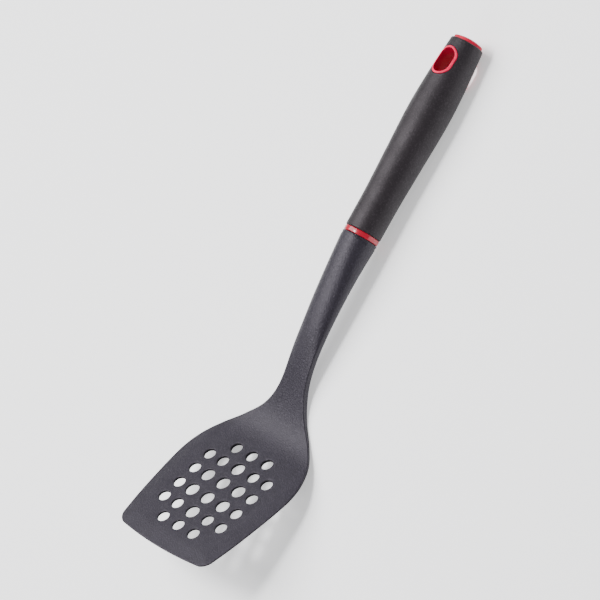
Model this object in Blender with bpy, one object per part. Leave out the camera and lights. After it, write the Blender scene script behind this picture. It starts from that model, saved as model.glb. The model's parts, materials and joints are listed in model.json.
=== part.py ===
"""Grill spatula: a moulded nylon turner head on a two-colour handle with a hanging hole.

The head is drawn in the blade's frame (X across, Y towards the handle, Z out of the top face,
origin at the middle of the front edge) and the handle pieces in the handle's frame (Y along
its axis, Z out of its top side). Both hang from one empty, which lays the tool on a flat
surface, touching with the blade's heel and the underside of the handle's far end.
"""

from math import acos, cos, pi, radians, sin, sqrt

import bmesh
import bpy
from mathutils import Matrix, Vector

GAP = 0.0003  # clearance between neighbouring pieces

# Blade
PANEL_THICKNESS = 0.0016
EDGE_THICKNESS = 0.0009
SHOULDER_THICKNESS = 0.0021
FRONT_MARGIN = 0.0090  # sloping strip behind the front edge
FRONT_BOW_RADIUS = 0.270
FRONT_BOW_REACH = 0.024
CORNER_RADIUS = 0.0056
SHOULDER = 0.080  # the flat panel ends here and the scoop towards the neck begins

# Drain holes: rows across the blade and columns along it, about the panel's middle
HOLE_CENTRE = 0.0452
COLUMNS = (-0.0246, -0.0131, 0.0, 0.0131, 0.0246)
ROWS = (-0.0286, -0.0177, -0.0061, 0.0061, 0.0177, 0.0286)
SMALL_HOLE = 0.0035
LARGE_HOLE = 0.0040

# Neck: where its middle line is steepest, and where it meets the collar
STEEPEST = (0.1215, 0.0215)
STEEPEST_RISE = radians(42.2)
NECK_END = (0.19046, 0.0648)
HANDLE_RISE = radians(25.3)
NECK_RADIUS = 0.0106
NECK_PULL = ((0.42, 0.36), (0.25, 0.40))  # how far each curve keeps its end directions

# Collar, measured back from the grip's front face
COLLAR_LENGTH = 0.0030
COLLAR_RADIUS = 0.0104
SPIGOT_RADIUS = 0.0080

# Tang inside the handle
TANG_HALF_WIDTH = 0.0046
TANG_HALF_THICKNESS = 0.0031
TANG_LENGTH = 0.064
TANG_TIP = (0.002, 0.8)  # length of the tapered tip, and its end's share of the full section
TANG_HOLES = (0.018, 0.050)
TANG_HOLE_RADIUS = 0.0019

# Grip and core
GRIP_LENGTH = 0.1195
GRIP_SHAPE = (
    (0.0, 0.01065),
    (0.022, 0.01075),
    (0.047, 0.01155),
    (0.074, 0.01238),
    (0.094, 0.01175),
    (0.109, 0.01062),
    (GRIP_LENGTH, 0.00975),
)
SLEEVE_WALL = 0.0024
CORE_WALL = 0.0018
CORE_LENGTH = GRIP_LENGTH - 0.0012
CAVITY_START = -0.002  # ahead of the core's front, so that the cavity is open there
CAVITY_LENGTH = 0.0930
PIN_RADIUS = 0.0016
PAD_RADIUS = 0.0030

# Hanging hole
HANG_CENTRE = 0.1043
HANG_HALF_LENGTH = 0.0089
HANG_HALF_WIDTH = 0.0065
EYELET_WALL = 0.0013
EYELET_PROUD = 0.0004
EYELET_SPAN = (-0.012, 0.011)  # of the surface that trims the liner, about the hole's centre

# End cap
CAP_RADIUS = 0.0086
CAP_WALL = 0.0011  # straight part of its side above the grip's end face
CAP_RISE = 0.0014  # dome above that
CAP_SKIRT_WALL = 0.0010
CAP_SKIRT_DEPTH = 0.0013

SOFT_EDGE = 0.0004  # chamfer of the turned pieces' outer edges
CUT_REACH = 0.020  # half height of the upright cutters
BORE_REACH = 0.030

# Mesh divisions
BLADE_COLUMNS = 8  # from the blade's middle to its edge
CORNER_TURNS = (0, 22, 40, 58, 74)  # degrees round the front corners
FLAT_STATIONS = (FRONT_MARGIN, 0.017, 0.026, 0.036, 0.046, 0.056, 0.062, 0.068)
NECK_STEPS = (12, 11)
TURN_STEPS = 32
HOLE_STEPS = 20
SLOT_END_STEPS = 10
GRIP_STEPS = 18
CORE_STEPS = 14
CAVITY_STEPS = 10
EYELET_STEPS = 10
DOME_STEPS = 7

# Search for the resting tilt
TILT_RANGE = (radians(10), radians(45))
TILT_STEPS = 40

LOOKS = {  # name, colour and roughness of each material
    "nylon": ("black nylon", (0.055, 0.052, 0.060), 0.55),
    "rubber": ("soft black rubber", (0.030, 0.029, 0.032), 0.60),
    "core": ("core plastic", (0.050, 0.050, 0.052), 0.50),
    "collar": ("red collar", (0.70, 0.012, 0.020), 0.18),
    "eyelet": ("red eyelet", (0.68, 0.010, 0.018), 0.22),
    "cap": ("red cap", (0.66, 0.012, 0.020), 0.22),
}


# ---------------------------------------------------------------- curves


def through(knots, s):
    """Smooth curve through (station, value) knots."""
    if s <= knots[0][0]:
        return knots[0][1]
    if s >= knots[-1][0]:
        return knots[-1][1]
    slopes = []
    for i in range(len(knots)):
        low, high = knots[max(i - 1, 0)], knots[min(i + 1, len(knots) - 1)]
        slopes.append((high[1] - low[1]) / (high[0] - low[0]))
    i = max(k for k in range(len(knots) - 1) if knots[k][0] <= s)
    step = knots[i + 1][0] - knots[i][0]
    t = (s - knots[i][0]) / step
    return (
        knots[i][1] * (2 * t**3 - 3 * t**2 + 1)
        + knots[i + 1][1] * (3 * t**2 - 2 * t**3)
        + slopes[i] * step * (t**3 - 2 * t**2 + t)
        + slopes[i + 1] * step * (t**3 - t**2)
    )


def mix(a, b, t):
    return a + (b - a) * t


def ramp(low, high, s):
    """0 below low, 1 above high, with a soft start and end."""
    t = min(max((s - low) / (high - low), 0.0), 1.0)
    return t * t * (3 - 2 * t)


def grip_radius(y):
    return through(GRIP_SHAPE, y)


def bezier(p0, p1, p2, p3, t):
    """Point and direction of a cubic curve in the blade's YZ plane."""
    u = 1 - t
    point = p0 * u**3 + p1 * (3 * u * u * t) + p2 * (3 * u * t * t) + p3 * t**3
    slope = (p1 - p0) * (u * u) + (p2 - p1) * (2 * u * t) + (p3 - p2) * (t * t)
    return point, slope.normalized()


def neck_stations():
    """Middle line of the head from the shoulder to the collar, as (point, direction) pairs."""
    ends = (
        (Vector((SHOULDER, -SHOULDER_THICKNESS / 2)), 0.0),
        (Vector(STEEPEST), STEEPEST_RISE),
        (Vector(NECK_END), HANDLE_RISE),
    )
    stations = []
    for (start, rise0), (end, rise1), pull, steps in zip(ends, ends[1:], NECK_PULL, NECK_STEPS):
        chord = (end - start).length
        p1 = start + Vector((cos(rise0), sin(rise0))) * chord * pull[0]
        p2 = end - Vector((cos(rise1), sin(rise1))) * chord * pull[1]
        stations += [bezier(start, p1, p2, end, i / steps) for i in range(steps)]
    stations.append((ends[-1][0], Vector((cos(HANDLE_RISE), sin(HANDLE_RISE)))))
    return stations


# ---------------------------------------------------------------- head sections

HALF_WIDTH = (
    (0.0, 0.0376),
    (0.017, 0.0404),
    (0.036, 0.0430),
    (0.056, 0.0448),
    (0.066, 0.0442),
    (0.075, 0.0416),
    (0.085, 0.0360),
    (0.095, 0.0270),
    (0.105, 0.0174),
    (0.115, 0.0119),
    (0.127, 0.0095),
    (0.150, 0.0095),
    (0.175, 0.0101),
    (0.210, NECK_RADIUS),
)
PANEL_HALF_WIDTH = (  # to the crease where the flat panel turns down to the edge
    (FRONT_MARGIN, 0.0312),
    (0.029, 0.0342),
    (0.050, 0.0366),
    (0.064, 0.0378),
    (0.074, 0.0369),
    (0.082, 0.0352),
    (0.090, 0.0305),
)
CREASE_LIMIT = 0.94  # of the half width
MARGIN_FADE = (0.064, 0.088)
THICKNESS = (
    (0.052, PANEL_THICKNESS),
    (SHOULDER, SHOULDER_THICKNESS),
    (0.092, 0.0023),
    (0.110, 0.0040),
    (0.130, 0.0056),
    (0.155, 0.0110),
    (0.185, 0.0157),
    (0.210, 2 * NECK_RADIUS),
)

# Share of the neck's length over which each side turns from flat to round
ROUND_TOP = (0.22, 0.66)
ROUND_BACK = (0.12, 0.55)


def half_width(s):
    """Blade outline: soft sides, with the front corners rounded off."""
    width = through(HALF_WIDTH, s)
    if s >= CORNER_RADIUS:
        return width
    return width - CORNER_RADIUS + sqrt(CORNER_RADIUS**2 - (CORNER_RADIUS - s) ** 2)


def section(s, neck_length):
    """Closed outline across the head, as (x, height) pairs, along the top and back underneath."""
    width, half = half_width(s), through(THICKNESS, s) / 2
    along = max(s - SHOULDER, 0.0) / neck_length
    round_top = ramp(*ROUND_TOP, along)
    round_back = ramp(*ROUND_BACK, along)
    panel = min(through(PANEL_HALF_WIDTH, s) / width, CREASE_LIMIT)
    drop = (PANEL_THICKNESS - EDGE_THICKNESS) * (1 - ramp(*MARGIN_FADE, s))
    front = drop * max(1 - s / FRONT_MARGIN, 0.0)
    top, back = [], []
    for k in range(2 * BLADE_COLUMNS):
        side = 1 if k < BLADE_COLUMNS else -1
        column = k if k < BLADE_COLUMNS else 2 * BLADE_COLUMNS - 1 - k
        turn = pi * (column + 0.5) / (2 * BLADE_COLUMNS)
        flat = 1.0 if column == 0 else panel * (1 - (column - 1) / (BLADE_COLUMNS - 1.5))
        fall = drop if column == 0 else front
        reach = side * width
        height = half * mix(1, sin(turn), round_top) - fall
        top.append((reach * mix(flat, cos(turn), round_top), height))
        height = -half * mix(1, sin(turn), round_back)
        back.append((reach * mix(flat, cos(turn), round_back), height))
    return top + back[::-1]


def placed(outline, point, direction, s=None):
    """Outline set square to the middle line; near the front it bows forward with the edge."""
    normal = Vector((-direction.y, direction.x))
    ring = []
    for x, height in outline:
        spot = point + normal * height
        bow = 0.0
        if s is not None:
            bow = x * x / (2 * FRONT_BOW_RADIUS) * (1 - ramp(0.0, FRONT_BOW_REACH, s))
        ring.append(Vector((x, spot.x + bow, spot.y)))
    return ring


def head_rings():
    """Every section of the head, from the front edge to the end of the tang."""
    corner = [CORNER_RADIUS * (1 - cos(radians(a))) for a in CORNER_TURNS]
    line = neck_stations()
    lengths = [0.0]
    for (a, _), (b, _) in zip(line, line[1:]):
        lengths.append(lengths[-1] + (b - a).length)
    ahead = Vector((1.0, 0.0))
    rings = []
    for s in corner + list(FLAT_STATIONS):
        middle = Vector((s, -through(THICKNESS, s) / 2))
        rings.append(placed(section(s, lengths[-1]), middle, ahead, s))
    for (point, direction), length in zip(line, lengths):
        rings.append(placed(section(SHOULDER + length, lengths[-1]), point, direction))
    end, direction = line[-1]
    shoulder = COLLAR_LENGTH + 2 * GAP
    tip_length, tip_scale = TANG_TIP
    for outline, distance in (
        (disc_outline(SPIGOT_RADIUS), 0.0),
        (disc_outline(SPIGOT_RADIUS), shoulder - GAP),
        (tang_outline(1.0), shoulder - GAP),
        (tang_outline(1.0), shoulder + TANG_LENGTH - tip_length),
        (tang_outline(tip_scale), shoulder + TANG_LENGTH),
    ):
        rings.append(placed(outline, end + direction * distance, direction))
    return rings


def disc_outline(radius):
    turns = [pi * (k + 0.5) / (2 * BLADE_COLUMNS) for k in range(4 * BLADE_COLUMNS)]
    return [(radius * cos(a), radius * sin(a)) for a in turns]


def tang_outline(scale):
    """Rectangle with rounded corners, as a fourth-power oval."""
    outline = []
    for x, z in disc_outline(1.0):
        stretch = scale / (x**4 + z**4) ** 0.25
        outline.append((TANG_HALF_WIDTH * x * stretch, TANG_HALF_THICKNESS * z * stretch))
    return outline


# ---------------------------------------------------------------- building blocks


def material(name, colour, roughness):
    look = bpy.data.materials.new(name)
    look.use_nodes = True
    shader = look.node_tree.nodes["Principled BSDF"]
    shader.inputs["Base Color"].default_value = (*colour, 1.0)
    shader.inputs["Roughness"].default_value = roughness
    shader.inputs["Metallic"].default_value = 0.0
    look.diffuse_color = (*colour, 1.0)
    return look


def new_object(name, bm, parent, look=None, crease=radians(35)):
    """Named object from a bmesh, shaded smooth between its sharp edges."""
    bmesh.ops.recalc_face_normals(bm, faces=bm.faces)
    mesh = bpy.data.meshes.new(name)
    bm.to_mesh(mesh)
    bm.free()
    mesh.shade_smooth()
    mesh.set_sharp_from_angle(angle=crease)
    if look:
        mesh.materials.append(look)
    thing = bpy.data.objects.new(name, mesh)
    bpy.context.scene.collection.objects.link(thing)
    thing.parent = parent
    return thing


def cutter(name, bm, parent):
    thing = new_object(name, bm, parent)
    thing.hide_render = True
    thing.display_type = "WIRE"
    return thing


def combine(thing, other, operation):
    step = thing.modifiers.new(operation.title() + " " + other.name, "BOOLEAN")
    step.operation = operation
    step.object = other


def turned(profile, angle=2 * pi, start=0.0):
    """Solid of (radius, y) points turned about the Y axis."""
    bm = bmesh.new()
    verts = [bm.verts.new((r * cos(start), y, r * sin(start))) for r, y in profile]
    edges = [bm.edges.new((a, b)) for a, b in zip(verts, verts[1:] + verts[:1])]
    whole = abs(angle - 2 * pi) < 1e-6
    bmesh.ops.spin(
        bm,
        geom=verts + edges,
        cent=(0, 0, 0),
        axis=(0, 1, 0),
        angle=-angle,
        steps=TURN_STEPS if whole else TURN_STEPS // 2,
        use_merge=whole,
    )
    bmesh.ops.remove_doubles(bm, verts=bm.verts, dist=1e-6)
    bmesh.ops.dissolve_degenerate(bm, edges=bm.edges, dist=1e-7)
    bmesh.ops.holes_fill(bm, edges=[e for e in bm.edges if e.is_boundary])
    return bm


def stadium(half_length, half_width, low, high):
    """Upright prism with round ends, long along Y."""
    straight = half_length - half_width
    outline = []
    for end, first in ((1, 0.0), (-1, pi)):
        middle = HANG_CENTRE + end * straight
        for k in range(SLOT_END_STEPS + 1):
            a = first + pi * k / SLOT_END_STEPS
            outline.append((half_width * cos(a), middle + half_width * sin(a)))
    bm = bmesh.new()
    base = bm.faces.new([bm.verts.new((x, y, low)) for x, y in outline])
    top = bmesh.ops.extrude_face_region(bm, geom=[base])["geom"]
    risen = [v for v in top if isinstance(v, bmesh.types.BMVert)]
    bmesh.ops.translate(bm, verts=risen, vec=(0, 0, high - low))
    return bm


def pegs(places, radius, low, high):
    """Upright cylinders standing at the (x, y) places."""
    bm = bmesh.new()
    for x, y in places:
        lift = Matrix.Translation((x, y, (low + high) / 2))
        bmesh.ops.create_cone(
            bm,
            cap_ends=True,
            segments=HOLE_STEPS,
            radius1=radius,
            radius2=radius,
            depth=high - low,
            matrix=lift,
        )
    return bm


# ---------------------------------------------------------------- pieces


def drain_holes():
    """(x, y, radius) of each drain hole: the short rows leave out the outer columns."""
    for i, row in enumerate(ROWS):
        for j, column in enumerate(COLUMNS):
            if i in (0, len(ROWS) - 1) and j in (0, len(COLUMNS) - 1):
                continue
            inner = (j == 2 and 0 < i < 5) or (j in (1, 3) and i in (2, 3))
            yield column, HOLE_CENTRE + row, LARGE_HOLE if inner else SMALL_HOLE


def make_head(root, handle, look):
    bm = bmesh.new()
    rings = head_rings()
    first = [bm.verts.new(p) for p in rings[0]]
    face = bm.faces.new(first)
    for ring in rings[1:]:
        face = bmesh.ops.extrude_discrete_faces(bm, faces=[face])["faces"][0]
        for vert, spot in zip(face.verts, ring):
            vert.co = spot
    last = len(first) - 1
    for k in range(len(first) // 2 - 1):
        bm.faces.new((first[k], first[k + 1], first[last - k - 1], first[last - k]))
    head = new_object("turner_head", bm, root, look)

    bm = bmesh.new()
    for x, y, radius in drain_holes():
        bmesh.ops.create_cone(
            bm,
            cap_ends=True,
            segments=HOLE_STEPS,
            radius1=radius,
            radius2=radius,
            depth=CUT_REACH,
            matrix=Matrix.Translation((x, y, 0)),
        )
    combine(head, cutter("drain_hole_cutters", bm, root), "DIFFERENCE")
    reach = 2 * TANG_HALF_THICKNESS
    bm = pegs([(0, y) for y in TANG_HOLES], TANG_HOLE_RADIUS, -reach, reach)
    combine(head, cutter("tang_hole_cutters", bm, handle), "DIFFERENCE")
    return head


def make_collar(handle, look):
    inner, soft = SPIGOT_RADIUS + GAP, SOFT_EDGE
    front, back = -COLLAR_LENGTH - GAP, -GAP
    profile = [
        (inner, front),
        (COLLAR_RADIUS - soft, front),
        (COLLAR_RADIUS, front + soft),
        (COLLAR_RADIUS, back - soft),
        (COLLAR_RADIUS - soft, back),
        (inner, back),
    ]
    return new_object("collar_band", turned(profile), handle, look)


def stations(start, end, count):
    return [mix(start, end, i / (count - 1)) for i in range(count)]


def core_radius(y):
    return grip_radius(y) - SLEEVE_WALL - GAP


def make_core_half(name, sign, handle, look):
    """Half of the core: a shell with a solid end, pierced by the hanging hole."""
    outside = [(core_radius(y), y) for y in stations(GAP, CORE_LENGTH, CORE_STEPS)]
    profile = [(0.0, GAP)] + outside + [(0.0, CORE_LENGTH)]
    half = new_object(name, turned(profile), handle, look)

    keep = CAP_RADIUS * 2
    middle = sign * (GAP / 2 + keep / 2)
    bm = bmesh.new()
    bmesh.ops.create_cube(bm, size=1.0)
    bmesh.ops.scale(bm, verts=bm.verts, vec=(2 * keep, 2 * GRIP_LENGTH, keep))
    bmesh.ops.translate(bm, verts=bm.verts, vec=(0, GRIP_LENGTH / 2, middle))
    combine(half, cutter(name + "_side", bm, handle), "INTERSECT")

    span = stations(CAVITY_START, CAVITY_LENGTH, CAVITY_STEPS)
    inside = [(core_radius(y) - CORE_WALL, y) for y in span]
    profile = [(0.0, CAVITY_START)] + inside + [(0.0, CAVITY_LENGTH)]
    cavity = cutter(name + "_cavity", turned(profile), handle)
    places = [(0, y) for y in TANG_HOLES]
    wall = sign * CUT_REACH
    pad_face = sign * (TANG_HALF_THICKNESS + GAP)
    bm = pegs(places, PAD_RADIUS, min(wall, pad_face), max(wall, pad_face))
    combine(cavity, cutter(name + "_pads", bm, handle), "DIFFERENCE")
    if sign < 0:
        bm = pegs(places, PIN_RADIUS, -CUT_REACH, -GAP / 2)
        combine(cavity, cutter(name + "_pins", bm, handle), "DIFFERENCE")
    combine(half, cavity, "DIFFERENCE")

    bm = stadium(HANG_HALF_LENGTH + GAP, HANG_HALF_WIDTH + GAP, -CUT_REACH, CUT_REACH)
    combine(half, cutter(name + "_hang_hole", bm, handle), "DIFFERENCE")
    return half


def make_sleeve(handle, look):
    """Soft overmoulded barrel, open at the front, recessed for the cap at the end."""
    soft, recess = SOFT_EDGE, CORE_LENGTH - CAP_SKIRT_DEPTH
    outer = [(grip_radius(y), y) for y in stations(soft, GRIP_LENGTH - 2 * soft, GRIP_STEPS)]
    inner = [(grip_radius(y) - SLEEVE_WALL, y) for y in stations(0.0, recess, CORE_STEPS)]
    profile = [(inner[0][0], 0.0), (grip_radius(0.0) - soft, 0.0)] + outer
    profile += [(grip_radius(GRIP_LENGTH) - soft, GRIP_LENGTH), (CAP_RADIUS + GAP, GRIP_LENGTH)]
    profile += [(CAP_RADIUS + GAP, recess)] + inner[:0:-1]
    sleeve = new_object("soft_grip", turned(profile), handle, look)
    bm = stadium(HANG_HALF_LENGTH + GAP, HANG_HALF_WIDTH + GAP, -CUT_REACH, CUT_REACH)
    combine(sleeve, cutter("grip_hang_hole", bm, handle), "DIFFERENCE")
    return sleeve


def make_eyelet(name, sign, handle, look):
    """Liner of half the hanging hole, its rim following the barrel and standing a little proud."""
    low, high = sorted((sign * GAP / 2, sign * CUT_REACH))
    eyelet = new_object(name, stadium(HANG_HALF_LENGTH, HANG_HALF_WIDTH, low, high), handle, look)
    length, width = HANG_HALF_LENGTH - EYELET_WALL, HANG_HALF_WIDTH - EYELET_WALL
    bore = stadium(length, width, -BORE_REACH, BORE_REACH)
    combine(eyelet, cutter(name + "_bore", bore, handle), "DIFFERENCE")
    ahead, behind = EYELET_SPAN
    span = stations(HANG_CENTRE + ahead, HANG_CENTRE + behind, EYELET_STEPS)
    profile = [(grip_radius(y) + EYELET_PROUD, y) for y in span]
    profile = [(0.0, span[0])] + profile + [(0.0, span[-1])]
    combine(eyelet, cutter(name + "_surface", turned(profile), handle), "INTERSECT")
    return eyelet


def make_cap(handle, look):
    """Domed disc with a short skirt around the core's end."""
    seat = CORE_LENGTH + GAP
    skirt_inner = CAP_RADIUS - CAP_SKIRT_WALL
    dome_radius = (CAP_RADIUS**2 + CAP_RISE**2) / (2 * CAP_RISE)
    dome_angle = acos((dome_radius - CAP_RISE) / dome_radius)
    crown = GRIP_LENGTH + CAP_WALL + CAP_RISE - dome_radius
    profile = [(0.0, seat), (skirt_inner, seat), (skirt_inner, seat - CAP_SKIRT_DEPTH)]
    profile += [(CAP_RADIUS, seat - CAP_SKIRT_DEPTH)]
    for a in stations(dome_angle, 0.0, DOME_STEPS):
        profile.append((dome_radius * sin(a), crown + dome_radius * cos(a)))
    return new_object("end_cap", turned(profile), handle, look)


# ---------------------------------------------------------------- placing


def lowest(points, tilt):
    return min(z * cos(tilt) - y * sin(tilt) for _, y, z in points)


def resting_tilt(head_points, handle_points):
    """Turn about X that brings the blade's heel and the handle's underside to one level."""
    low, high = TILT_RANGE
    for _ in range(TILT_STEPS):
        tilt = (low + high) / 2
        if lowest(handle_points, tilt) > lowest(head_points, tilt):
            low = tilt
        else:
            high = tilt
    return tilt


def lay_down(root, pieces):
    """Turn and lift the whole tool so that it lies on Z = 0, centred over the origin."""
    depsgraph = bpy.context.evaluated_depsgraph_get()
    points = {}
    for piece in pieces:
        mesh = piece.evaluated_get(depsgraph).to_mesh()
        points[piece.name] = [piece.matrix_world @ v.co for v in mesh.vertices]
    tilt = resting_tilt(points["turner_head"], points["soft_grip"] + points["back_eyelet"])
    spread = [p for group in points.values() for p in group]
    along = [p.y * cos(tilt) + p.z * sin(tilt) for p in spread]
    root.rotation_euler = (-tilt, 0, 0)
    root.location = (0, -(min(along) + max(along)) / 2, -lowest(spread, tilt))


def main():
    for thing in list(bpy.data.objects):
        bpy.data.objects.remove(thing)

    looks = {key: material(*values) for key, values in LOOKS.items()}
    root = bpy.data.objects.new("turner", None)
    handle = bpy.data.objects.new("handle", None)
    for empty in (root, handle):
        bpy.context.scene.collection.objects.link(empty)
    handle.parent = root
    back = COLLAR_LENGTH + 2 * GAP
    handle.location = (
        0,
        NECK_END[0] + back * cos(HANDLE_RISE),
        NECK_END[1] + back * sin(HANDLE_RISE),
    )
    handle.rotation_euler = (HANDLE_RISE, 0, 0)

    pieces = [
        make_head(root, handle, looks["nylon"]),
        make_collar(handle, looks["collar"]),
        make_core_half("core_front_half", 1, handle, looks["core"]),
        make_core_half("core_back_half", -1, handle, looks["core"]),
        make_sleeve(handle, looks["rubber"]),
        make_eyelet("front_eyelet", 1, handle, looks["eyelet"]),
        make_eyelet("back_eyelet", -1, handle, looks["eyelet"]),
        make_cap(handle, looks["cap"]),
    ]
    bpy.context.view_layer.update()
    lay_down(root, pieces)


main()
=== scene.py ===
import json
from math import acos, cos, pi, radians, sin, sqrt

import bmesh
import bpy
from mathutils import Matrix, Vector


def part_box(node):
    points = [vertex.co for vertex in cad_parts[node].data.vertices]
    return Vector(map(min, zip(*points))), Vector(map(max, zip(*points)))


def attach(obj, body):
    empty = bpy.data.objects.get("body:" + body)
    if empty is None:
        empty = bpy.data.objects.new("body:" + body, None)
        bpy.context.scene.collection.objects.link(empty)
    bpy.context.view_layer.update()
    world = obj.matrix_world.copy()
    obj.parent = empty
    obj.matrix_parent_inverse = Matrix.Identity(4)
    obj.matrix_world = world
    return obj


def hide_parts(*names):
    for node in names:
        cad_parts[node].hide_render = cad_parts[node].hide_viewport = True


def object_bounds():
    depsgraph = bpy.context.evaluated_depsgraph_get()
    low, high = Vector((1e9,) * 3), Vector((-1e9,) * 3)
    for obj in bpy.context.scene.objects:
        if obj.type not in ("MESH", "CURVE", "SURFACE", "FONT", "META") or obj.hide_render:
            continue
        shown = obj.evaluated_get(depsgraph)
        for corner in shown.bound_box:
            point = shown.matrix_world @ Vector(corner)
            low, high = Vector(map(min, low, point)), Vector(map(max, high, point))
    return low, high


bl_info = {
    "name": "Grill Spatula",
    "version": (1, 0, 0),
    "blender": (4, 5, 0),
    "location": "3D View > Sidebar > Spatula",
    "description": "Builds a nylon grill spatula with a soft grip around its packed frame",
    "category": "Add Mesh",
}

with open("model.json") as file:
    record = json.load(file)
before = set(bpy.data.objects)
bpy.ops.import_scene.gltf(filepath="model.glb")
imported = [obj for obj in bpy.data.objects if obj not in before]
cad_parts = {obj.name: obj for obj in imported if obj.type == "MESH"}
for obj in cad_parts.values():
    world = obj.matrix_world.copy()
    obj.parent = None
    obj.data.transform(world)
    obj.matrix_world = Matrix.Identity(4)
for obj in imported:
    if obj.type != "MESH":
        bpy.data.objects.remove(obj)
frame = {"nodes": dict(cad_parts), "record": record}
CAD_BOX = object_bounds()

GAP = 0.0003  # clearance between neighbouring pieces
MERGE = 1e-6  # points closer than this are one point
SHARP = radians(40)  # edges sharper than this stay crisp

# Blade, in its own frame: X across, Y towards the handle, Z out of the top face
PANEL_THICKNESS = 0.0016
EDGE_THICKNESS = 0.0009
SHOULDER_THICKNESS = 0.0021
FRONT_MARGIN = 0.0090  # sloping strip behind the front edge
FRONT_BOW_RADIUS = 0.270
FRONT_BOW_REACH = 0.024
CORNER_RADIUS = 0.0056
SHOULDER = 0.080  # the flat panel ends here and the scoop towards the neck begins

# Drain holes: rows across the blade and columns along it, about the panel's middle
HOLE_CENTRE = 0.0452
COLUMNS = (-0.0246, -0.0131, 0.0, 0.0131, 0.0246)
ROWS = (-0.0286, -0.0177, -0.0061, 0.0061, 0.0177, 0.0286)
SMALL_HOLE = 0.0035
LARGE_HOLE = 0.0040

HOLE_REGION_END = -0.068  # in the tool's own Y: the holes lie in front of this, and so does the painted shade on upright faces

# Neck: where its middle line is steepest, and where it meets the collar
STEEPEST = (0.1215, 0.0215)
STEEPEST_RISE = radians(42.2)
NECK_END = (0.19046, 0.0648)
HANDLE_RISE = radians(25.3)
NECK_RADIUS = 0.0106
NECK_PULL = ((0.42, 0.36), (0.25, 0.40))  # how far each curve keeps its end directions

HALF_WIDTH = (
    (0.0, 0.0376),
    (0.017, 0.0404),
    (0.036, 0.0430),
    (0.056, 0.0448),
    (0.066, 0.0442),
    (0.075, 0.0416),
    (0.085, 0.0360),
    (0.095, 0.0270),
    (0.105, 0.0174),
    (0.115, 0.0119),
    (0.127, 0.0095),
    (0.150, 0.0095),
    (0.175, 0.0101),
    (0.210, NECK_RADIUS),
)
PANEL_HALF_WIDTH = (  # to the crease where the flat panel turns down to the edge
    (FRONT_MARGIN, 0.0312),
    (0.029, 0.0342),
    (0.050, 0.0366),
    (0.064, 0.0378),
    (0.074, 0.0369),
    (0.082, 0.0352),
    (0.090, 0.0305),
)
CREASE_LIMIT = 0.94  # of the half width
CREASE_SOFTNESS = 0.10  # of the margin's width
MARGIN_FADE = (0.064, 0.088)
THICKNESS = (
    (0.052, PANEL_THICKNESS),
    (SHOULDER, SHOULDER_THICKNESS),
    (0.092, 0.0023),
    (0.110, 0.0040),
    (0.130, 0.0056),
    (0.155, 0.0110),
    (0.185, 0.0157),
    (0.210, 2 * NECK_RADIUS),
)
ROUND_TOP = (0.22, 0.66)  # share of the neck over which its top turns from flat to round
ROUND_BACK = (0.12, 0.55)

# Collar, spigot and tang
COLLAR_LENGTH = 0.0030
COLLAR_RADIUS = 0.0104
SPIGOT_RADIUS = 0.0080
TANG_HALF_WIDTH = 0.0046
TANG_HALF_THICKNESS = 0.0031
TANG_LENGTH = 0.064
TANG_HOLES = (0.018, 0.050)
TANG_HOLE_RADIUS = 0.0019

# Grip, in the handle's frame: Y along its axis from the grip's front face, Z out of its top
GRIP_LENGTH = 0.1195
GRIP_SHAPE = (
    (0.0, 0.01065),
    (0.022, 0.01075),
    (0.047, 0.01155),
    (0.074, 0.01238),
    (0.094, 0.01175),
    (0.109, 0.01062),
    (GRIP_LENGTH, 0.00975),
)
SLEEVE_WALL = 0.0024
CORE_LENGTH = GRIP_LENGTH - 0.0012

# Hanging hole and its liner
HANG_CENTRE = 0.1043
HANG_HALF_LENGTH = 0.0089
HANG_HALF_WIDTH = 0.0065
EYELET_WALL = 0.0013
EYELET_PROUD = 0.0004

# End cap
CAP_RADIUS = 0.0086
CAP_WALL = 0.0011
CAP_RISE = 0.0014
CAP_REVEAL = 0.0005  # more of the cap's side shows than on its CAD node
CAP_CROWN = 0.0001  # and its dome stands this much higher
CAP_SKIRT_WALL = 0.0010
CAP_SKIRT_DEPTH = 0.0013

# Rounded edges
NECK_END_SOFT = 0.0004
SPIGOT_BEVEL = 0.0003
TANG_HOLE_RIM = 0.0003
COLLAR_CROWN = 0.00006
COLLAR_SOFT = 0.00055
GRIP_FRONT_SOFT = 0.00035
GRIP_END_SOFT = 0.0008
INNER_SOFT = 0.0002
LINER_SOFT = 0.00045
LINER_FOOT = 0.004  # the liner's walls run straight below this height
CAP_SOFT = 0.0004
SKIRT_SOFT = 0.0001
CUT_REACH = 0.002  # how far a hole's cutter sticks out of the plate

TURN_STEPS = 96


# ---------------------------------------------------------------- frames


def mount_axis(name):
    """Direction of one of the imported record's mounts."""
    mount = next(m for m in frame["record"]["mounts"] if m["name"] == name)
    return Vector(mount["axis"]).normalized()


def upright_frame(up, origin):
    """Matrix whose Z is up, whose X stays level across the tool and whose Y runs backwards."""
    across = Vector((1.0, 0.0, 0.0))
    along = up.cross(across).normalized()
    matrix = Matrix((across, along, up)).transposed().to_4x4()
    matrix.translation = origin
    return matrix


def tool_frames():
    """Blade and handle frames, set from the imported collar's middle and the mounts' axes."""
    low, high = (Vector(corner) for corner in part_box("collar_band"))
    handle = upright_frame(mount_axis("hang_hole"), (low + high) / 2)
    handle.translation = handle @ Vector((0.0, COLLAR_LENGTH / 2 + GAP, 0.0))
    blade = upright_frame(mount_axis("blade_top"), Vector())
    back = COLLAR_LENGTH + 2 * GAP
    reach = (0, NECK_END[0] + back * cos(HANDLE_RISE), NECK_END[1] + back * sin(HANDLE_RISE))
    blade.translation = handle.translation - blade @ Vector(reach)
    return blade, handle


BLADE, HANDLE = tool_frames()


# ---------------------------------------------------------------- curves


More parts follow.
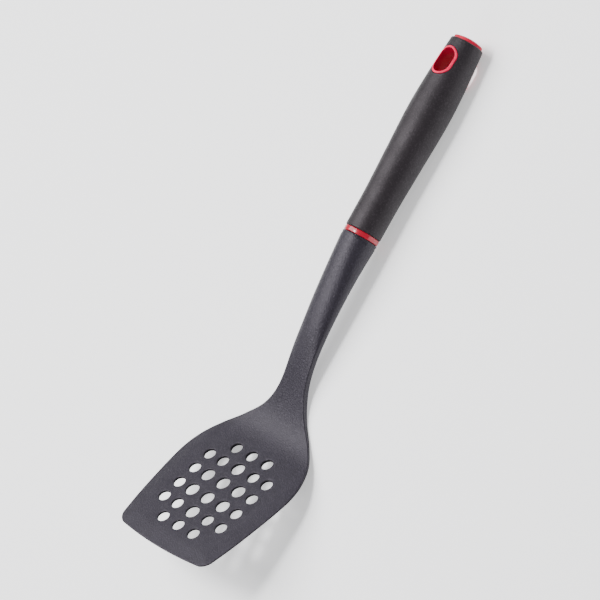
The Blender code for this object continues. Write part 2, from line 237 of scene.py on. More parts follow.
def through(knots, s):
    """Smooth curve through (station, value) knots."""
    if s <= knots[0][0]:
        return knots[0][1]
    if s >= knots[-1][0]:
        return knots[-1][1]
    slopes = []
    for i in range(len(knots)):
        low, high = knots[max(i - 1, 0)], knots[min(i + 1, len(knots) - 1)]
        slopes.append((high[1] - low[1]) / (high[0] - low[0]))
    i = max(k for k in range(len(knots) - 1) if knots[k][0] <= s)
    step = knots[i + 1][0] - knots[i][0]
    t = (s - knots[i][0]) / step
    return (
        knots[i][1] * (2 * t**3 - 3 * t**2 + 1)
        + knots[i + 1][1] * (3 * t**2 - 2 * t**3)
        + slopes[i] * step * (t**3 - 2 * t**2 + t)
        + slopes[i + 1] * step * (t**3 - t**2)
    )


def mix(a, b, t):
    return a + (b - a) * t


def ramp(low, high, s):
    """0 below low, 1 above high, with a soft start and end."""
    t = min(max((s - low) / (high - low), 0.0), 1.0)
    return t * t * (3 - 2 * t)


def stations(start, end, count):
    return [mix(start, end, i / (count - 1)) for i in range(count)]


def grip_radius(y):
    return through(GRIP_SHAPE, y)


def bezier(p0, p1, p2, p3, t):
    """Point and direction of a cubic curve in the blade's YZ plane."""
    u = 1 - t
    point = p0 * u**3 + p1 * (3 * u * u * t) + p2 * (3 * u * t * t) + p3 * t**3
    slope = (p1 - p0) * (u * u) + (p2 - p1) * (2 * u * t) + (p3 - p2) * (t * t)
    return point, slope.normalized()


def neck_line(steps):
    """Middle line of the head from the shoulder to the collar, as (point, direction) pairs."""
    ends = (
        (Vector((SHOULDER, -SHOULDER_THICKNESS / 2)), 0.0),
        (Vector(STEEPEST), STEEPEST_RISE),
        (Vector(NECK_END), HANDLE_RISE),
    )
    line = []
    for (start, rise0), (end, rise1), pull in zip(ends, ends[1:], NECK_PULL):
        chord = (end - start).length
        p1 = start + Vector((cos(rise0), sin(rise0))) * chord * pull[0]
        p2 = end - Vector((cos(rise1), sin(rise1))) * chord * pull[1]
        line += [bezier(start, p1, p2, end, i / steps) for i in range(steps)]
    line.append((ends[-1][0], Vector((cos(HANDLE_RISE), sin(HANDLE_RISE)))))
    return line


# ---------------------------------------------------------------- building blocks


def rolled(rings, closed=False):
    """Skin through closed rings of points: a grid rolled up, and joined end to end if closed."""
    around, along = len(rings[0]), len(rings) - (0 if closed else 1)
    bm = bmesh.new()
    bmesh.ops.create_grid(bm, x_segments=around, y_segments=along, size=1.0)
    for vert in bm.verts:
        i = round((vert.co.x + 1) / 2 * around) % around
        j = round((vert.co.y + 1) / 2 * along) % len(rings)
        vert.co = rings[j][i]
    bmesh.ops.remove_doubles(bm, verts=bm.verts, dist=MERGE)
    bmesh.ops.dissolve_degenerate(bm, edges=bm.edges, dist=MERGE / 10)
    return bm


def turned(profile, closed=True, steps=TURN_STEPS):
    """Solid of (radius, y) points turned about the Y axis; open if both ends lie on it."""
    bm = bmesh.new()
    verts = [bm.verts.new((r, y, 0.0)) for r, y in profile]
    pairs = list(zip(verts, verts[1:] + verts[:1] if closed else verts[1:]))
    edges = [bm.edges.new(pair) for pair in pairs]
    bmesh.ops.spin(
        bm,
        geom=verts + edges,
        cent=(0, 0, 0),
        axis=(0, 1, 0),
        angle=2 * pi,
        steps=steps,
        use_merge=True,
    )
    bmesh.ops.remove_doubles(bm, verts=bm.verts, dist=MERGE)
    bmesh.ops.dissolve_degenerate(bm, edges=bm.edges, dist=MERGE / 10)
    return bm


def rounded(points, radii, steps=5):
    """Closed outline with each corner turned to an arc of its own radius."""
    outline = []
    for k, (corner, radius) in enumerate(zip(points, radii)):
        here = Vector(corner)
        if radius <= 0:
            outline.append(tuple(here))
            continue
        before = (Vector(points[k - 1]) - here).normalized()
        after = (Vector(points[(k + 1) % len(points)]) - here).normalized()
        half = before.angle(after) / 2
        middle = here + (before + after).normalized() * radius / sin(half)
        first = here + before * radius * cos(half) / sin(half) - middle
        sweep = pi - 2 * half
        side = 1 if before.x * after.y - before.y * after.x < 0 else -1
        for i in range(steps + 1):
            a = side * sweep * i / steps
            spot = Vector(
                (first.x * cos(a) - first.y * sin(a), first.x * sin(a) + first.y * cos(a))
            )
            outline.append(tuple(middle + spot))
    return outline


def mesh_object(name, bm, matrix=None):
    """Object at the origin with the bmesh's shape set in place, smooth between sharp edges."""
    bmesh.ops.recalc_face_normals(bm, faces=bm.faces)
    if matrix:
        bmesh.ops.transform(bm, matrix=matrix, space=Matrix.Identity(4), verts=bm.verts)
    mesh = bpy.data.meshes.new(name)
    bm.to_mesh(mesh)
    bm.free()
    mesh.shade_smooth()
    mesh.set_sharp_from_angle(angle=SHARP)
    thing = bpy.data.objects.new(name, mesh)
    bpy.context.scene.collection.objects.link(thing)
    return thing


def carved(thing, tool):
    """The object with its cutting tool applied and taken away."""
    step = thing.modifiers.new(tool.name, "BOOLEAN")
    step.operation = "DIFFERENCE"
    step.solver = "EXACT"
    step.object = tool
    depsgraph = bpy.context.evaluated_depsgraph_get()
    depsgraph.update()
    old = thing.data
    mesh = bpy.data.meshes.new_from_object(thing.evaluated_get(depsgraph))
    thing.modifiers.clear()
    thing.data = mesh
    mesh.name = thing.name
    bpy.data.meshes.remove(old)
    bpy.data.objects.remove(tool)
    bm = bmesh.new()
    bm.from_mesh(mesh)
    bmesh.ops.remove_doubles(bm, verts=bm.verts, dist=MERGE)
    bmesh.ops.dissolve_degenerate(bm, edges=bm.edges, dist=MERGE)
    bm.to_mesh(mesh)
    bm.free()
    mesh.shade_smooth()
    mesh.set_sharp_from_angle(angle=SHARP)
    return thing


def finished(thing, look, slot_name, *nodes):
    """Gives a piece its look, sets it under the root body and hides the CAD nodes it stands in
    for.
    """
    thing.data.materials.clear()
    thing.data.materials.append(look)
    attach(thing, "root")
    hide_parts(*nodes)


# ---------------------------------------------------------------- head

SIDE_WALL_POINTS = 3
EDGE_ARC_POINTS = 6
MARGIN_POINTS = 12
PANEL_POINTS = 14
FLAT_STATIONS = 44
NECK_STEPS = 40
CORNER_STEPS = 12
NOSE_STEPS = 6
NECK_EDGE = 0.0007  # rounding of the neck's long edges
SEAM_RISE = 0.00006  # mould parting line along both sides of the neck


def half_width(s):
    """Blade outline: soft sides, with the front corners rounded off."""
    width = through(HALF_WIDTH, s)
    if s >= CORNER_RADIUS:
        return width
    return width - CORNER_RADIUS + sqrt(CORNER_RADIUS**2 - (CORNER_RADIUS - s) ** 2)


def margin_fall(x, crease, width):
    """0 on the panel and 1 at the edge, bending softly at the crease."""
    t = (x - crease) / (width - crease)
    soft = (t + sqrt(t * t + CREASE_SOFTNESS**2)) / 2
    full = (1 + sqrt(1 + CREASE_SOFTNESS**2)) / 2
    return soft / full


def quarter(s, along, top):
    """(x, height) from the middle of the side to the middle of the top or of the back."""
    width, half = half_width(s), through(THICKNESS, s) / 2
    crease = min(through(PANEL_HALF_WIDTH, s), CREASE_LIMIT * width)
    drop = (PANEL_THICKNESS - EDGE_THICKNESS) * (1 - ramp(*MARGIN_FADE, s))
    front = max(1 - s / FRONT_MARGIN, 0.0)
    edge_half, middle = half - drop / 2, -drop / 2
    corner = min(0.9 * edge_half, mix(edge_half, NECK_EDGE, ramp(0.0, 0.3, along)))
    roundness = ramp(*(ROUND_TOP if top else ROUND_BACK), along)
    side = SIDE_WALL_POINTS + EDGE_ARC_POINTS
    first_turn = pi / 2 * 1.5 / 8
    points = []
    for k in range(side):
        if k < SIDE_WALL_POINTS:
            x, rise = width, (edge_half - corner) * k / SIDE_WALL_POINTS
        else:
            a = pi / 2 * (k - SIDE_WALL_POINTS) / EDGE_ARC_POINTS
            x = width - corner + corner * cos(a)
            rise = edge_half - corner + corner * sin(a)
        flat = middle + rise if top else middle - rise
        points.append((x, flat, first_turn * k / side))
    inner = [crease * (1 - k / PANEL_POINTS) for k in range(1, PANEL_POINTS + 1)]
    outer = stations(width - corner, crease, MARGIN_POINTS)
    for x in outer + inner:
        if top:
            fall = max(margin_fall(x, crease, width), front)
            flat = half - drop * fall
        else:
            flat = -half
        share = min(x / (CREASE_LIMIT * width), 1.0)
        turn = pi / 2 * (1 - share) + first_turn * share
        points.append((x, flat, turn))
    seam = SEAM_RISE * ramp(0.5, 0.7, along)
    ring = []
    for k, (x, flat, turn) in enumerate(points):
        rounded_x = width * cos(turn) + (seam if k == 0 else 0.0)
        rounded_z = half * sin(turn) * (1 if top else -1)
        ring.append((mix(x, rounded_x, roundness), mix(flat, rounded_z, roundness)))
    return ring


def section(s, along):
    """Closed outline across the head, as (x, height) pairs from the right side over the top."""
    top, back = quarter(s, along, True), quarter(s, along, False)
    left = [(-x, z) for x, z in top]
    under = [(-x, z) for x, z in back]
    return top + left[-2::-1] + under[1:] + back[-2:0:-1]


def placed(outline, point, direction, s=None):
    """Outline set square to the middle line; near the front it bows forward with the edge."""
    normal = Vector((-direction.y, direction.x))
    ring = []
    for x, height in outline:
        spot = point + normal * height
        bow = 0.0
        if s is not None:
            bow = x * x / (2 * FRONT_BOW_RADIUS) * (1 - ramp(0.0, FRONT_BOW_REACH, s))
        ring.append(Vector((x, spot.x + bow, spot.y)))
    return ring


def nose_rings(ahead):
    """The rounded front edge: sections that grow from a line to the edge's full thickness."""
    lip = EDGE_THICKNESS / 2
    centre = (EDGE_THICKNESS - PANEL_THICKNESS) / 2
    rings = []
    for k in range(NOSE_STEPS):
        a = pi / 2 * k / NOSE_STEPS
        s = lip * (1 - cos(a))
        outline = [(x, centre + (z - centre) * sin(a)) for x, z in section(s, 0.0)]
        middle = Vector((s, -PANEL_THICKNESS / 2))
        rings.append(placed(outline, middle, ahead, s))
    return rings


def circle_outline(radius, count):
    angles = [2 * pi * k / count for k in range(count)]
    return [(radius * cos(a), radius * sin(a)) for a in angles]


def tang_outline(scale, count):
    """Rectangle with rounded corners, as a fourth-power oval."""
    outline = []
    for x, z in circle_outline(1.0, count):
        stretch = scale / (x**4 + z**4) ** 0.25
        outline.append((TANG_HALF_WIDTH * x * stretch, TANG_HALF_THICKNESS * z * stretch))
    return outline


def head_rings():
    """Every section of the head, from the front edge to the end of the tang."""
    ahead = Vector((1.0, 0.0))
    lip = EDGE_THICKNESS / 2
    rings = nose_rings(ahead)
    corner = [CORNER_RADIUS * (1 - cos(pi / 2 * k / CORNER_STEPS)) for k in range(CORNER_STEPS)]
    flat = [lip] + [s for s in corner if s > 1.3 * lip]
    flat += stations(CORNER_RADIUS, SHOULDER, FLAT_STATIONS)[:-1]
    for s in flat:
        middle = Vector((s, -through(THICKNESS, s) / 2))
        rings.append(placed(section(s, 0.0), middle, ahead, s))
    line = neck_line(NECK_STEPS)
    lengths = [0.0]
    for (a, _), (b, _) in zip(line, line[1:]):
        lengths.append(lengths[-1] + (b - a).length)
    for (point, direction), length in zip(line[:-1], lengths):
        along = length / lengths[-1]
        rings.append(placed(section(SHOULDER + length, along), point, direction))
    end, direction = line[-1]
    count = len(rings[0])
    for a in (0, 30, 60, 90):
        radius = NECK_RADIUS - NECK_END_SOFT * (1 - cos(radians(a)))
        inward = NECK_END_SOFT * (1 - sin(radians(a)))
        rings.append(placed(circle_outline(radius, count), end - direction * inward, direction))
    root = COLLAR_LENGTH + GAP
    tip = COLLAR_LENGTH + 2 * GAP + TANG_LENGTH
    for outline, distance in (
        (circle_outline(SPIGOT_RADIUS, count), 0.0),
        (circle_outline(SPIGOT_RADIUS, count), root - SPIGOT_BEVEL),
        (circle_outline(SPIGOT_RADIUS - SPIGOT_BEVEL, count), root),
        (tang_outline(1.04, count), root),
        (tang_outline(1.0, count), root + 0.0004),
        (tang_outline(1.0, count), tip - 0.0020),
        (tang_outline(0.95, count), tip - 0.0008),
        (tang_outline(0.8, count), tip),
    ):
        rings.append(placed(outline, end + direction * distance, direction))
    return rings


def drain_holes(small, large):
    """(x, y, radius) of each drain hole: the short rows leave out the outer columns."""
    for i, row in enumerate(ROWS):
        for j, column in enumerate(COLUMNS):
            if i in (0, len(ROWS) - 1) and j in (0, len(COLUMNS) - 1):
                continue
            inner = (j == 2 and 0 < i < 5) or (j in (1, 3) and i in (2, 3))
            yield column, HOLE_CENTRE + row, large if inner else small


def spool(radius, low, high, rim, place, steps=40):
    """Cutter that leaves a hole with both its rims rounded."""
    flare = [(radius + rim * (1 - cos(a)), rim * sin(a)) for a in stations(0.0, radians(84), 6)]
    wide, lift = flare[-1]
    profile = [(0.0, high + CUT_REACH), (wide, high + CUT_REACH)]
    profile += [(r, high - lift + z) for r, z in reversed(flare)]
    profile += [(r, low + lift - z) for r, z in flare]
    profile += [(wide, low - CUT_REACH), (0.0, low - CUT_REACH)]
    bm = turned(profile, closed=False, steps=steps)
    bmesh.ops.transform(
        bm,
        matrix=place @ Matrix.Rotation(pi / 2, 4, "X"),
        space=Matrix.Identity(4),
        verts=bm.verts,
    )
    return bm


def joined(parts):
    """One bmesh of all the given ones."""
    whole = bmesh.new()
    for bm in parts:
        mesh = bpy.data.meshes.new("part")
        bm.to_mesh(mesh)
        bm.free()
        whole.from_mesh(mesh)
        bpy.data.meshes.remove(mesh)
    return whole


def build_head(settings):
    """Blade, neck and tang as one skin, with the drain and pin holes cut."""
    bm = rolled(head_rings())
    bmesh.ops.holes_fill(bm, edges=[e for e in bm.edges if e.is_boundary])
    head = mesh_object("blade_and_neck", bm, BLADE)
    cutters = []
    small, large = settings.small_hole / 2, settings.large_hole / 2
    for x, y, radius in drain_holes(small, large):
        low = -through(THICKNESS, y)
        place = BLADE @ Matrix.Translation((x, y, 0.0))
        cutters.append(spool(radius, low, 0.0, settings.hole_rim, place))
    for y in TANG_HOLES:
        place = HANDLE @ Matrix.Translation((0.0, y, 0.0))
        half = TANG_HALF_THICKNESS
        cutters.append(spool(TANG_HOLE_RADIUS, -half, half, TANG_HOLE_RIM, place, steps=24))
    return carved(head, mesh_object("hole_tools", joined(cutters)))


# ---------------------------------------------------------------- handle


def build_collar():
    """Ring with softly rounded outer edges and a barely crowned face."""
    inner = SPIGOT_RADIUS + GAP
    front, back = -COLLAR_LENGTH - GAP, -GAP
    corners = [
        (inner, front),
        (COLLAR_RADIUS, front),
        (COLLAR_RADIUS + COLLAR_CROWN, (front + back) / 2),
        (COLLAR_RADIUS, back),
        (inner, back),
    ]
    profile = rounded(corners, (INNER_SOFT, COLLAR_SOFT, 0.0, COLLAR_SOFT, INNER_SOFT))
    return mesh_object("collar_ring", turned(profile), HANDLE)


def stadium_path(half_length, half_width, steps):
    """(x, y, outward normal) round a slot with round ends, long along Y."""
    straight = half_length - half_width
    path = []
    for end, first in ((1, 0.0), (-1, pi)):
        for k in range(steps + 1):
            a = first + pi * k / steps
            normal = Vector((cos(a), sin(a)))
            spot = Vector((0.0, HANG_CENTRE + end * straight)) + normal * half_width
            path.append((spot, normal))
    lengthened = []
    for k, (spot, normal) in enumerate(path):
        lengthened.append((spot, normal))
        after = path[(k + 1) % len(path)]
        if (after[0] - spot).length > 2 * half_width * pi / steps and (k + 1) % (steps + 1) == 0:
            for t in (0.2, 0.4, 0.6, 0.8):
                lengthened.append((spot.lerp(after[0], t), normal))
    return lengthened


def barrel_height(x, y, proud=0.0):
    """How far the barrel's surface stands above the handle's middle plane."""
    return sqrt((grip_radius(y) + proud) ** 2 - x * x)


def build_grip():
    """Turned barrel with the hanging hole cut through it."""
    recess = CORE_LENGTH - CAP_SKIRT_DEPTH
    end = GRIP_LENGTH - CAP_REVEAL
    outer = [(grip_radius(y), y) for y in stations(0.0, end, 80)]
    inner = [(grip_radius(y) - SLEEVE_WALL, y) for y in stations(0.0, recess, 24)]
    corners = outer + [(CAP_RADIUS + GAP, end), (CAP_RADIUS + GAP, recess)] + inner[::-1]
    radii = [0.0] * len(corners)
    radii[0], radii[len(outer) - 1] = GRIP_FRONT_SOFT, GRIP_END_SOFT
    radii[len(outer)] = INNER_SOFT
    profile = rounded(corners, radii, steps=6)
    grip = mesh_object("grip_barrel", turned(profile), HANDLE)
    path = stadium_path(HANG_HALF_LENGTH + GAP, HANG_HALF_WIDTH + GAP, 24)
    rings = [[Vector((p.x, p.y, z)) for p, _ in path] for z in (-0.02, 0.02)]
    bm = rolled(rings)
    bmesh.ops.holes_fill(bm, edges=[e for e in bm.edges if e.is_boundary])
    return carved(grip, mesh_object("hang_tool", bm, HANDLE))


def build_eyelet(name, side, settings):
    """Liner of half the hanging hole, with a rounded rim that follows the barrel."""
    wall, proud = EYELET_WALL, settings.eyelet_proud
    rings = []
    for spot, normal in stadium_path(HANG_HALF_LENGTH, HANG_HALF_WIDTH, 36):
        ring = []

        def add(inset, drop, deep=None):
            x, y = spot - normal * inset
            z = deep if deep is not None else barrel_height(x, y, proud) - drop
            ring.append(Vector((x, y, side * z)))

        add(0.0, 0.0, GAP / 2)
        add(0.0, 0.0, LINER_FOOT)
        for k in range(7):
            a = pi / 2 * k / 6
            add(LINER_SOFT * (1 - cos(a)), LINER_SOFT * (1 - sin(a)))
        for k in range(7):
            a = pi / 2 * (1 - k / 6)
            add(wall - LINER_SOFT * (1 - cos(a)), LINER_SOFT * (1 - sin(a)))
        add(wall, 0.0, LINER_FOOT)
        add(wall, 0.0, GAP / 2)
        rings.append(ring)
    return mesh_object(name, rolled(rings, closed=True), HANDLE)


def build_cap():
    """Domed disc with a short skirt around the core's end."""
    seat = CORE_LENGTH + GAP
    skirt_inner, foot = CAP_RADIUS - CAP_SKIRT_WALL, seat - CAP_SKIRT_DEPTH
    rise = CAP_RISE + CAP_CROWN
    dome_radius = (CAP_RADIUS**2 + rise**2) / (2 * rise)
    dome_angle = acos((dome_radius - rise) / dome_radius)
    crown = GRIP_LENGTH + CAP_WALL + rise - dome_radius
    profile = [(0.0, seat), (skirt_inner, seat), (skirt_inner, foot), (CAP_RADIUS, foot)]
    radii = [0.0, 0.0, SKIRT_SOFT, SKIRT_SOFT]
    for a in stations(dome_angle, 0.0, 16):
        profile.append((dome_radius * sin(a), crown + dome_radius * cos(a)))
        radii.append(0.0)
    radii[4] = CAP_SOFT
    return mesh_object("end_cap_dome", turned(rounded(profile, radii), closed=False), HANDLE)


# ---------------------------------------------------------------- materials


class Signal:
    """A socket of a finish; arithmetic on it adds Math nodes."""

    def __init__(self, finish, socket):
        self.finish, self.socket = finish, socket

    def math(self, operation, *values):
        settings = {"operation": operation}
        return self.finish.node("ShaderNodeMath", settings, dict(enumerate(values)))

    def __add__(self, other):
        return self.math("ADD", self, other)

    __radd__ = __add__

    def __sub__(self, other):
        return self.math("SUBTRACT", self, other)

    def __rsub__(self, other):
        return self.math("SUBTRACT", other, self)

    def __mul__(self, other):
        return self.math("MULTIPLY", self, other)

    __rmul__ = __mul__

    def __lt__(self, other):
        return self.math("LESS_THAN", self, other)

    def __abs__(self):
        return self.math("ABSOLUTE", self)


class Finish:
    """One procedural material."""

    def __init__(self, name):
        self.material = bpy.data.materials.new(name)
        self.material.use_nodes = True
        self.tree = self.material.node_tree
        self.tree.nodes.clear()

    def node(self, kind, settings=None, sockets=None, output=0):
        """Adds a node, sets it up, feeds its sockets and returns one of its outputs."""
        made = self.tree.nodes.new(kind)
        for key, value in (settings or {}).items():
            setattr(made, key, value)
        for key, value in (sockets or {}).items():
            socket = made.inputs[key]
            if isinstance(value, Signal):
                self.tree.links.new(value.socket, socket)
            else:
                socket.default_value = value
        return Signal(self, made.outputs[output]) if made.outputs else None

    def coordinates(self, turn=(0, 0, 0), scale=(1, 1, 1)):
        """Object coordinates, turned and stretched for a pattern."""
        place = self.node("ShaderNodeTexCoord", output="Object")
        return self.node(
            "ShaderNodeMapping", None, {"Vector": place, "Rotation": turn, "Scale": scale}
        )

    def facing(self, direction):
        """1 where the surface faces along the direction or against it, 0 where it is parallel."""
        normal = self.node("ShaderNodeNewGeometry", output="Normal")
        settings = {"operation": "DOT_PRODUCT"}
        sockets = {0: normal, 1: direction}
        return abs(self.node("ShaderNodeVectorMath", settings, sockets, output="Value"))

    def distance_along(self):
        """The surface's Y, along the tool."""
        place = self.node("ShaderNodeTexCoord", output="Object")
        return self.node("ShaderNodeSeparateXYZ", None, {"Vector": place}, output="Y")

    def noise(self, place, scale, detail=2.0, roughness=0.5):
        settings = {"noise_dimensions": "3D"}
        sockets = {"Vector": place, "Scale": scale, "Detail": detail, "Roughness": roughness}
        return self.node("ShaderNodeTexNoise", settings, sockets)

    def contrast(self, value, low, high):
        """0 where the value is below low and 1 above high."""
        return self.node(
            "ShaderNodeMapRange",
            {"interpolation_type": "SMOOTHSTEP"},
            {"Value": value, "From Min": low, "From Max": high},
        )

    def blend(self, factor, first, second):
        """Mix of two colours."""
        return self.node(
            "ShaderNodeMix",
            {"data_type": "RGBA"},
            {0: factor, 6: colour(first), 7: colour(second)},
            output=2,
        )

    def bump(self, height, strength, distance, under=None):
        sockets = {"Height": height, "Strength": strength, "Distance": distance}
        if under:
            sockets["Normal"] = under
        return self.node("ShaderNodeBump", None, sockets)

    def surface(self, **sockets):
        """The shader itself: socket names with their spaces written as underscores."""
        named = {key.replace("_", " "): value for key, value in sockets.items()}
        shader = self.node("ShaderNodeBsdfPrincipled", None, named)
        self.node("ShaderNodeOutputMaterial", None, {"Surface": shader})
        return self.material


def colour(value):
    return value if isinstance(value, Signal) else (*value[:3], 1.0)


def shaded(base, factor):
    """The colour made lighter or darker."""
    return tuple(channel * factor for channel in base[:3])


GRAIN_SCALE = 1500.0
PIT_SCALE = 1200.0


def nylon_finish(settings):
    """Moulded nylon: fine mould grain, slight flow and handling marks, painted shade on upright
    faces among the drain holes.
    """
    look = Finish("moulded_nylon")
    base = tuple(settings.nylon)
    place = look.coordinates(turn=(-BLADE.to_euler().x, 0, 0))
    flow = look.noise(look.coordinates(scale=(1.0, 0.35, 1.0)), 120.0, 3.0)
    grain = look.noise(place, GRAIN_SCALE, 2.0, 0.6)
    pits = look.noise(place, PIT_SCALE, 1.0, 0.5)
    scratches = look.noise(look.coordinates(turn=(0, 0, 0.5), scale=(1.0, 0.03, 1.0)), 1300.0, 1.0)
    scuffed = look.contrast(scratches, 0.66, 0.74) * look.contrast(flow, 0.45, 0.65)
    tone = look.blend(look.contrast(flow, 0.3, 0.7), shaded(base, 0.94), shaded(base, 1.06))
    speckled = look.blend(look.contrast(pits, 0.50, 0.74) * 0.45, tone, shaded(base, 2.2))
    worn = look.blend(scuffed * 0.2, speckled, shaded(base, 2.2))
    # Painted shade: faces upright to the blade's top, in front of HOLE_REGION_END, get a quarter
    # of the nylon's colour and more roughness; these are the drain holes' walls and the blade's
    # edges round them.
    upright = 1.0 - look.contrast(look.facing(BLADE.col[2].xyz), 0.15, 0.5)
    wall = upright * (look.distance_along() < HOLE_REGION_END)
    cut = look.blend(wall, worn, shaded(base, 0.25))
    rough = 0.40 + look.contrast(flow, 0.3, 0.7) * 0.05 + (grain - 0.5) * 0.3 - scuffed * 0.05
    fine = look.bump(grain, 0.9, 0.0002)
    relief = look.bump(pits, 0.55, 0.00025, fine)
    return look.surface(
        Base_Color=cut,
        Roughness=rough + wall * 0.45,
        Normal=relief,
        Specular_IOR_Level=settings.nylon_gloss,
        Specular_Tint=(*settings.sheen_tint, 1.0),
        IOR=1.5,
    )


def rubber_finish(settings):
    """Soft-touch rubber: matt, finely speckled, a little shinier where it is handled."""
    look = Finish("soft_rubber_skin")
    base = tuple(settings.rubber)
    place = look.coordinates()
    cloud = look.noise(place, 95.0, 3.0)
    grain = look.noise(place, GRAIN_SCALE, 2.0, 0.65)
    dust = look.noise(place, PIT_SCALE, 1.0)
    tone = look.blend(look.contrast(cloud, 0.3, 0.7), shaded(base, 0.86), shaded(base, 1.12))
    speckled = look.blend(look.contrast(dust, 0.50, 0.74) * 0.6, tone, shaded(base, 2.4))
    rough = 0.52 - look.contrast(cloud, 0.35, 0.65) * 0.06 + (grain - 0.5) * 0.3
    fine = look.bump(grain, 0.7, 0.00015)
    relief = look.bump(dust, 0.45, 0.0002, fine)
    return look.surface(
        Base_Color=speckled,
        Roughness=rough,
        Normal=relief,
        Specular_IOR_Level=settings.rubber_gloss,
        Specular_Tint=(1.0, 0.93, 0.98, 1.0),
        IOR=1.5,
        Sheen_Weight=0.05,
        Sheen_Roughness=0.45,
    )


COLLAR_TINT = (1.0, 0.8, 0.8, 1.0)
LINER_TINT = (1.0, 0.35, 0.4, 1.0)
CAP_TINT = (1.0, 0.4, 0.45, 1.0)
# painted shade: share of the liner's colour left on its upright walls inside the hanging hole
LINER_WALL_SHADE = 0.57


def red_finish(name, base, settings, polish, tint, shade=1.0):
    """Moulded plastic with a faint ripple and tiny dust specks.

    polish runs from 0 to 1, tint colours its reflection, and shade is the painted shade on its
    upright walls: they get that share of the colour, while faces turned up keep all of it.
    """
    look = Finish(name)
    place = look.coordinates()
    ripple = look.noise(place, 240.0, 2.0)
    fine = look.noise(place, 1700.0, 2.0)
    speck = look.noise(place, 820.0, 1.0)
    tone = look.blend(look.contrast(ripple, 0.3, 0.7), shaded(base, 0.90), shaded(base, 1.08))
    # Painted shade: upright walls get a darker copy of the colour, and faces turned up keep the
    # full colour.
    if shade < 1.0:
        rim = look.contrast(look.facing((0.0, 0.0, 1.0)), 0.05, 0.4)
        tone = look.blend(rim, shaded(base, shade), tone)
    dusty = look.blend(look.contrast(speck, 0.74, 0.82) * 0.25, tone, (0.75, 0.42, 0.42))
    rough = (0.46 - 0.20 * polish) + look.contrast(ripple, 0.3, 0.7) * 0.06 + fine * 0.05
    matt = 1.0 - 0.8 * polish
    wavy = look.bump(ripple, 0.10 * matt, 0.0001)
    relief = look.bump(fine, 0.08 * matt, 0.00004, wavy)
    return look.surface(
        Base_Color=dusty,
        Roughness=rough,
        Normal=relief,
        Specular_IOR_Level=settings.red_gloss,
        Specular_Tint=tint,
        IOR=1.5,
        Coat_Weight=0.6 * polish,
        Coat_Roughness=0.06,
    )


def core_finish():
    """Plain dark plastic of the handle's core, with a matt mould texture."""
    look = Finish("handle_core_plastic")
    place = look.coordinates()
    cloud = look.noise(place, 150.0, 2.0)
    grain = look.noise(place, 1800.0, 2.0)
    tone = look.blend(look.contrast(cloud, 0.3, 0.7), (0.020, 0.020, 0.022), (0.030, 0.030, 0.033))
    rough = 0.45 + grain * 0.15
    return look.surface(Base_Color=tone, Roughness=rough, Normal=look.bump(grain, 0.2, 0.00005))


def floor_finish(settings):
    """Matt painted board."""
    look = Finish("studio_floor")
    place = look.coordinates()
    cloud = look.noise(place, 1.5, 2.0)
    base = tuple(settings.floor)
    tone = look.blend(look.contrast(cloud, 0.2, 0.8), shaded(base, 0.995), base)
    return look.surface(
        Base_Color=tone,
        Roughness=0.9,
        Specular_IOR_Level=0.1,
        Emission_Color=(1.0, 1.0, 1.0, 1.0),
        Emission_Strength=settings.floor_glow,
    )


# ---------------------------------------------------------------- settings


def size_setting(name, description, default, low=0.0, high=0.1):
    return bpy.props.FloatProperty(
        name=name,
        description=description,
        default=default,
        min=low,
        max=high,
        precision=5,
        subtype="DISTANCE",
        unit="LENGTH",
    )


def colour_setting(name, description, default):
    return bpy.props.FloatVectorProperty(
        name=name,
        description=description,
        default=default,
        size=3,
        min=0.0,
        max=1.0,
        subtype="COLOR",
    )


def share_setting(name, description, default, high=1.0):
    return bpy.props.FloatProperty(
        name=name, description=description, default=default, min=0.0, max=high, subtype="FACTOR"
    )


class SpatulaHeadSettings(bpy.types.PropertyGroup):
    """Sizes and colour of the nylon head."""

    small_hole: size_setting("Small hole", "Diameter of the outer drain holes", 2 * SMALL_HOLE)
    large_hole: size_setting("Large hole", "Diameter of the inner drain holes", 2 * LARGE_HOLE)
    hole_rim: size_setting("Hole rim", "Rounding of the drain holes' rims", 0.0004)
    nylon: colour_setting("Nylon", "Colour of the moulded nylon", (0.0185, 0.0162, 0.0225))
    nylon_gloss: share_setting("Nylon gloss", "Strength of the nylon's reflection", 0.27)
    sheen_tint: colour_setting("Sheen tint", "Tint of the nylon's reflection", (0.96, 0.91, 1.0))


class SpatulaHandleSettings(bpy.types.PropertyGroup):
    """Sizes and colours of the handle's pieces."""

    eyelet_proud: size_setting(
        "Liner height", "How far the hanging hole's liner stands out of the grip", EYELET_PROUD
    )
    rubber: colour_setting("Rubber", "Colour of the soft grip", (0.0160, 0.0134, 0.0156))
    rubber_gloss: share_setting("Rubber gloss", "Strength of the rubber's reflection", 0.215)
    collar_red: colour_setting("Collar", "Colour of the collar ring", (0.37, 0.003, 0.020))
    liner_red: colour_setting("Liner", "Colour of the hanging hole's liner", (0.80, 0.016, 0.078))
    cap_red: colour_setting("End cap", "Colour of the end cap", (0.50, 0.006, 0.034))
    red_gloss: share_setting("Red gloss", "Strength of the red plastic's reflection", 0.28)


class SpatulaStageSettings(bpy.types.PropertyGroup):
    """Floor, light and camera."""

    floor: colour_setting("Floor", "Colour of the floor", (0.86, 0.86, 0.87))
    floor_size: size_setting("Floor size", "Length of the floor's sides", 12.0, high=50.0)
    floor_glow: bpy.props.FloatProperty(
        name="Floor glow",
        description="Light that comes up through the floor",
        default=0.6,
        min=0.0,
    )
    key_power: bpy.props.FloatProperty(
        name="Key light",
        description="Power of the large overhead light",
        default=66.0,
        unit="POWER",
    )
    top_power: bpy.props.FloatProperty(
        name="Top light", description="Power of the small light above", default=16.0, unit="POWER"
    )
    fill_power: bpy.props.FloatProperty(
        name="Fill light", description="Power of the soft side light", default=10.0, unit="POWER"
    )
    sky: bpy.props.FloatProperty(
        name="Sky", description="Brightness of the room around", default=0.28, min=0.0
    )
    lens: bpy.props.FloatProperty(
        name="Lens",
        description="Focal length of the camera in millimetres",
        default=180.0,
        min=1.0,
    )


# ---------------------------------------------------------------- operators


